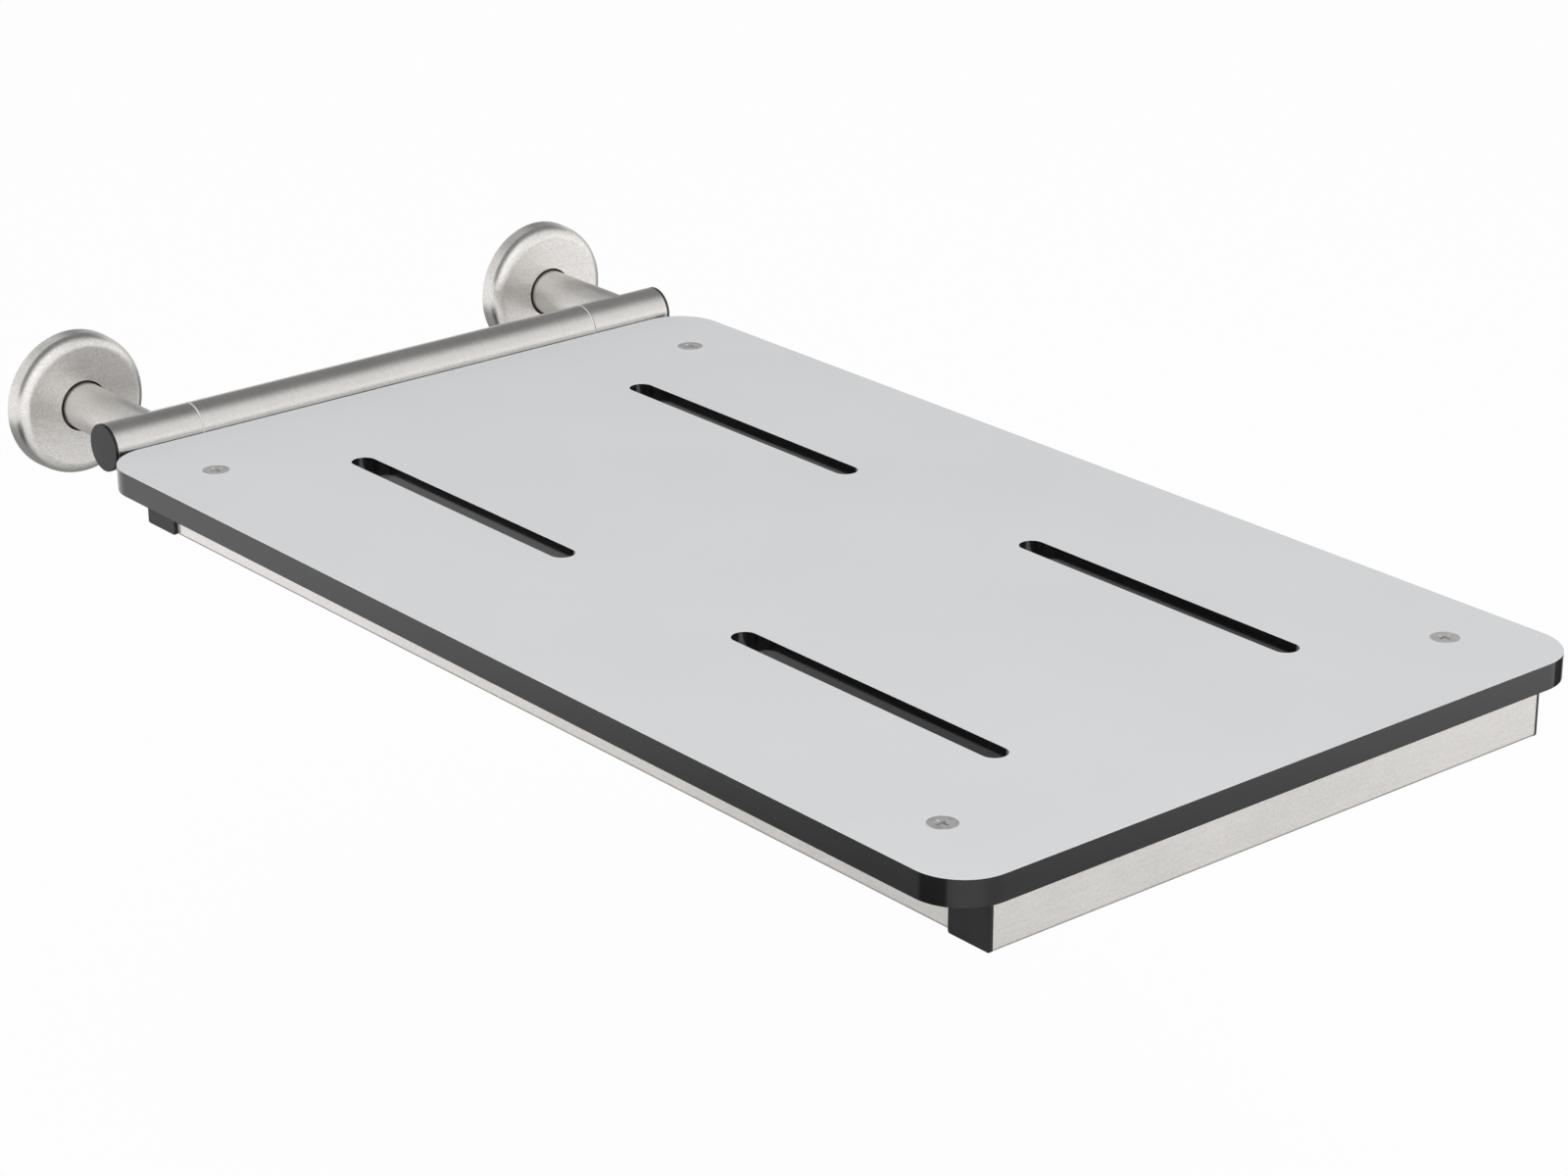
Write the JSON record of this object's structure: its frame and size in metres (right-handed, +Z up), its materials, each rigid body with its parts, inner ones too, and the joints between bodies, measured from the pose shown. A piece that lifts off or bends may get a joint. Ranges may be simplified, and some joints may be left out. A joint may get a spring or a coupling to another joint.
{
  "type": "wall-mounted folding tub seat",
  "caption": "Slotted laminate seat board on a square-tube frame that folds up about a round hinge tube carried on two wall posts with flange covers.",
  "frame": {"origin": "on the wall plane, midway between the two posts, at the height of the hinge axis and of the board's top face", "axes": "+Y into the wall, +X to the right of someone facing the wall, +Z up; the open seat reaches along -Y"},
  "size_m": [0.381, 0.7337, 0.0762],
  "materials": {
    "brushed_steel": "satin brushed stainless steel",
    "plain_steel": "plain mill-finish stainless steel",
    "screw_steel": "fine satin stainless steel",
    "black_plastic": "fine-grained black plastic with a soft sheen",
    "white_nylon": "plain white nylon",
    "grey_laminate": "matt light grey laminate faces on a polished black core"
  },
  "bodies": {
    "wall_mount": {"left_wall_plate": "plain_steel", "right_wall_plate": "plain_steel", "left_post": "brushed_steel", "right_post": "brushed_steel", "left_end_sleeve": "brushed_steel", "right_end_sleeve": "brushed_steel", "left_shaft_collar": "plain_steel", "right_shaft_collar": "plain_steel", "hinge_shaft": "plain_steel", "shaft_screws": "screw_steel", "left_tube_cap": "black_plastic", "right_tube_cap": "black_plastic"},
    "left_cover": {"left_flange_cover": "brushed_steel"},
    "right_cover": {"right_flange_cover": "brushed_steel"},
    "seat": {"hinge_tube": "brushed_steel", "left_bush": "white_nylon", "right_bush": "white_nylon", "left_hinge_lug": "plain_steel", "right_hinge_lug": "plain_steel", "rear_beam": "brushed_steel", "front_beam": "brushed_steel", "left_side_beam": "brushed_steel", "right_side_beam": "brushed_steel", "rear_left_plug": "black_plastic", "rear_right_plug": "black_plastic", "front_left_plug": "black_plastic", "front_right_plug": "black_plastic", "seat_board": "grey_laminate", "seat_screws": "screw_steel", "weld_nuts": "plain_steel"}
  },
  "joints": [
    {"name": "seat_fold", "type": "hinge", "parent": "wall_mount", "child": "seat", "pos_m": [0, -0.0762, 0], "axis": [-1, 0, 0], "range_deg": [0, 96]},
    {"name": "left_cover_slide", "type": "slide", "parent": "wall_mount", "child": "left_cover", "axis": [0, -1, 0], "range_m": [0, 0.045]},
    {"name": "right_cover_slide", "type": "slide", "parent": "wall_mount", "child": "right_cover", "axis": [0, -1, 0], "range_m": [0, 0.045]}
  ]
}
